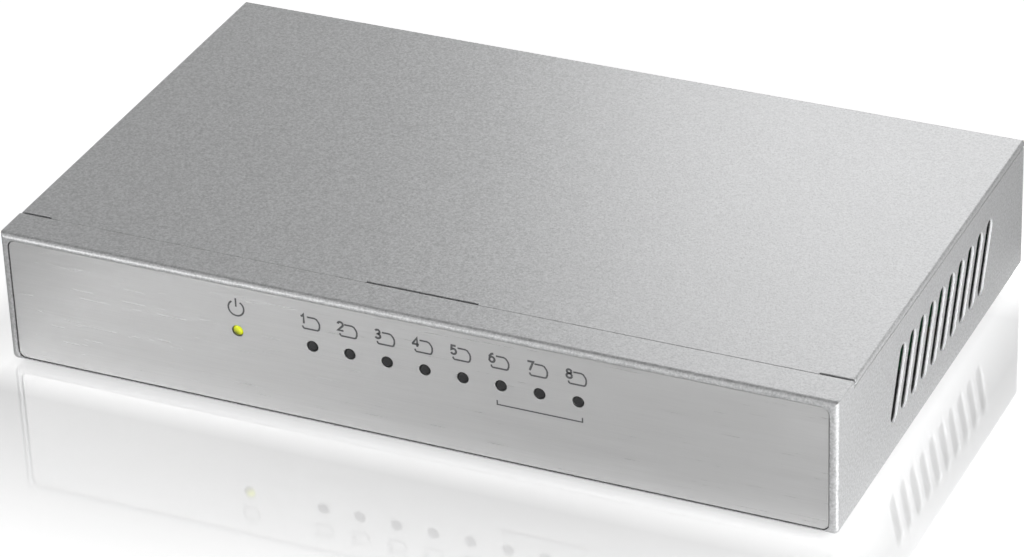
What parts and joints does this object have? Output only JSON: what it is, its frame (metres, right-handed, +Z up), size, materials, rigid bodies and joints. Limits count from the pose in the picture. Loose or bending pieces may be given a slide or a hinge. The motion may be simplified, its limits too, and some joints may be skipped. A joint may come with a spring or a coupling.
{
  "type": "desktop network switch",
  "caption": "Desktop network switch in a folded metal case with slanted side vents, front status lights and rear sockets for network cables and power.",
  "frame": {"origin": "centre of the overall footprint, on the surface that the rubber feet stand on", "axes": "+X to the right seen from the front, +Y from the front plate towards the rear sockets, +Z up"},
  "size_m": [0.16, 0.0986, 0.0274],
  "materials": {
    "case_paint": "fine-grained silver-grey powder coat",
    "cover_paint": "fine-grained silver-grey powder coat",
    "rear_paint": "fine-grained silver-grey powder coat",
    "front_brushed": "brushed from side to side",
    "adhesive": "matt",
    "holder_plastic": "matt moulded",
    "lamp_plastic": "clear resin over white",
    "lens_lit": "clear moulded, lit yellow-green",
    "lens_dark": "smoked moulded, unlit",
    "board_green": "solder mask",
    "brass": "turned",
    "screw_steel": "bright zinc plate",
    "rivet_steel": "plain",
    "jack_plastic": "matt moulded",
    "shield_tin": "tin plate",
    "contact_gold": "gold plate",
    "contact_nickel": "nickel plate",
    "chip_black": "matt moulded",
    "lead_tin": "tin plate",
    "capacitor_can": "drawn can",
    "ferrite": "pressed ferrite",
    "crystal_can": "drawn can",
    "passive_ceramic": "fired ceramic",
    "foot_rubber": "matt"
  },
  "bodies": {
    "case": {"board_screws": "screw_steel", "capacitor_1": "capacitor_can", "capacitor_2": "capacitor_can", "capacitor_3": "capacitor_can", "chassis_tray": "case_paint", "chip_passives": "passive_ceramic", "circuit_board": "board_green", "contact_wires": "contact_gold", "cover_screws": "screw_steel", "crystal": "crystal_can", "foot_front_left": "foot_rubber", "foot_front_right": "foot_rubber", "foot_rear_left": "foot_rubber", "foot_rear_right": "foot_rubber", "front_plate": "front_brushed", "jack_housing": "jack_plastic", "jack_shield": "shield_tin", "lamps": "lamp_plastic", "light_pipe_1": "lens_dark", "light_pipe_2": "lens_dark", "light_pipe_3": "lens_dark", "light_pipe_4": "lens_dark", "light_pipe_5": "lens_dark", "light_pipe_6": "lens_dark", "light_pipe_7": "lens_dark", "light_pipe_8": "lens_dark", "light_pipe_power": "lens_lit", "magnetics_1": "chip_black", "magnetics_2": "chip_black", "magnetics_3": "chip_black", "magnetics_4": "chip_black", "magnetics_leads": "lead_tin", "memory_chip": "chip_black", "panel_rivets": "rivet_steel", "pipe_holder": "holder_plastic", "plate_adhesive": "adhesive", "power_inductor": "ferrite", "power_jack_body": "jack_plastic", "power_jack_leaf": "contact_nickel", "power_jack_pin": "contact_nickel", "rear_panel": "rear_paint", "regulator_chip": "chip_black", "small_chip_leads": "lead_tin", "standoffs": "brass", "switch_chip": "chip_black", "switch_chip_leads": "lead_tin", "top_cover": "cover_paint"},
    "spring_set_1": {"contacts_1": "contact_gold"},
    "spring_set_2": {"contacts_2": "contact_gold"},
    "spring_set_3": {"contacts_3": "contact_gold"},
    "spring_set_4": {"contacts_4": "contact_gold"},
    "spring_set_5": {"contacts_5": "contact_gold"},
    "spring_set_6": {"contacts_6": "contact_gold"},
    "spring_set_7": {"contacts_7": "contact_gold"},
    "spring_set_8": {"contacts_8": "contact_gold"}
  },
  "joints": [
    {"name": "port_1_springs", "type": "hinge", "parent": "case", "child": "spring_set_1", "pos_m": [-0.0429, 0.0443, 0.01865], "axis": [-1, 0, 0], "range_deg": [0, 12], "stiffness_Nm_per_rad": 0.3},
    {"name": "port_2_springs", "type": "hinge", "parent": "case", "child": "spring_set_2", "pos_m": [-0.02892, 0.0443, 0.01865], "axis": [-1, 0, 0], "range_deg": [0, 12], "stiffness_Nm_per_rad": 0.3},
    {"name": "port_3_springs", "type": "hinge", "parent": "case", "child": "spring_set_3", "pos_m": [-0.01495, 0.0443, 0.01865], "axis": [-1, 0, 0], "range_deg": [0, 12], "stiffness_Nm_per_rad": 0.3},
    {"name": "port_4_springs", "type": "hinge", "parent": "case", "child": "spring_set_4", "pos_m": [-0.00098, 0.0443, 0.01865], "axis": [-1, 0, 0], "range_deg": [0, 12], "stiffness_Nm_per_rad": 0.3},
    {"name": "port_5_springs", "type": "hinge", "parent": "case", "child": "spring_set_5", "pos_m": [0.01299, 0.0443, 0.01865], "axis": [-1, 0, 0], "range_deg": [0, 12], "stiffness_Nm_per_rad": 0.3},
    {"name": "port_6_springs", "type": "hinge", "parent": "case", "child": "spring_set_6", "pos_m": [0.02695, 0.0443, 0.01865], "axis": [-1, 0, 0], "range_deg": [0, 12], "stiffness_Nm_per_rad": 0.3},
    {"name": "port_7_springs", "type": "hinge", "parent": "case", "child": "spring_set_7", "pos_m": [0.04093, 0.0443, 0.01865], "axis": [-1, 0, 0], "range_deg": [0, 12], "stiffness_Nm_per_rad": 0.3},
    {"name": "port_8_springs", "type": "hinge", "parent": "case", "child": "spring_set_8", "pos_m": [0.05489, 0.0443, 0.01865], "axis": [-1, 0, 0], "range_deg": [0, 12], "stiffness_Nm_per_rad": 0.3}
  ]
}
